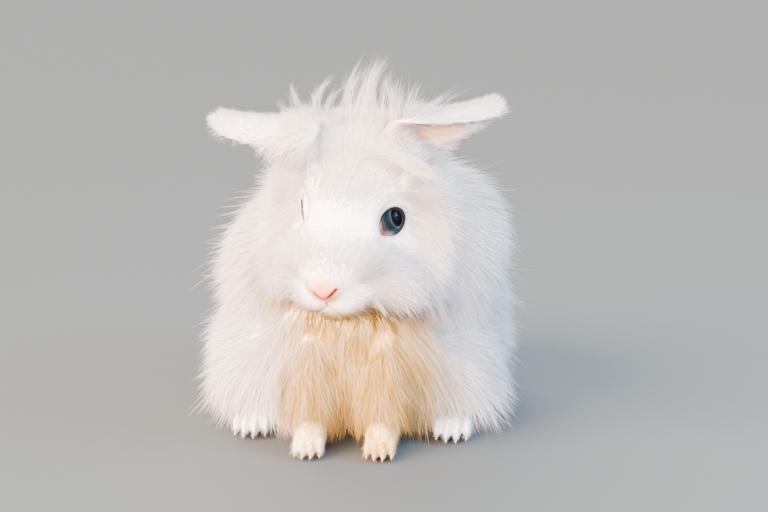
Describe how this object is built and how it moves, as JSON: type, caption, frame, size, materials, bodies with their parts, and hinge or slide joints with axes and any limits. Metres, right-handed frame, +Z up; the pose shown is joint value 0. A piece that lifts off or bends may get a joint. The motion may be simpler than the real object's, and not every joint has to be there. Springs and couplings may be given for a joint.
{
  "type": "angora rabbit, young, still life-size model",
  "caption": "Young white long-woolled rabbit, life size, crouched on the floor with its head turned to its right and its ears held out sideways.",
  "frame": {"origin": "on the floor, under the middle of the whole animal's box", "axes": "+Z up, the rabbit faces -Y, +X to its left"},
  "size_m": [0.1856, 0.249, 0.2029],
  "materials": {
    "coat": "soft matte white wool",
    "bib": "matte wool, cream and stained tan under the chin",
    "ear": "short plush coat, peach skin inside",
    "eye": "wet and glossy, blue-grey iris",
    "skin": "bare pink skin of the nose and eyelids",
    "claw": "smooth pale horn"
  },
  "bodies": {
    "root": {"head": "coat", "neck": "coat", "trunk": "coat", "chest": "bib", "tail": "coat", "ear_left": "ear", "ear_right": "ear", "eye_left": "eye", "eye_right": "eye", "foreleg_left": "coat", "forefoot_left": "coat", "thigh_left": "coat", "hind_foot_left": "coat", "foreleg_right": "coat", "forefoot_right": "coat", "thigh_right": "coat", "hind_foot_right": "coat"}
  },
  "joints": []
}
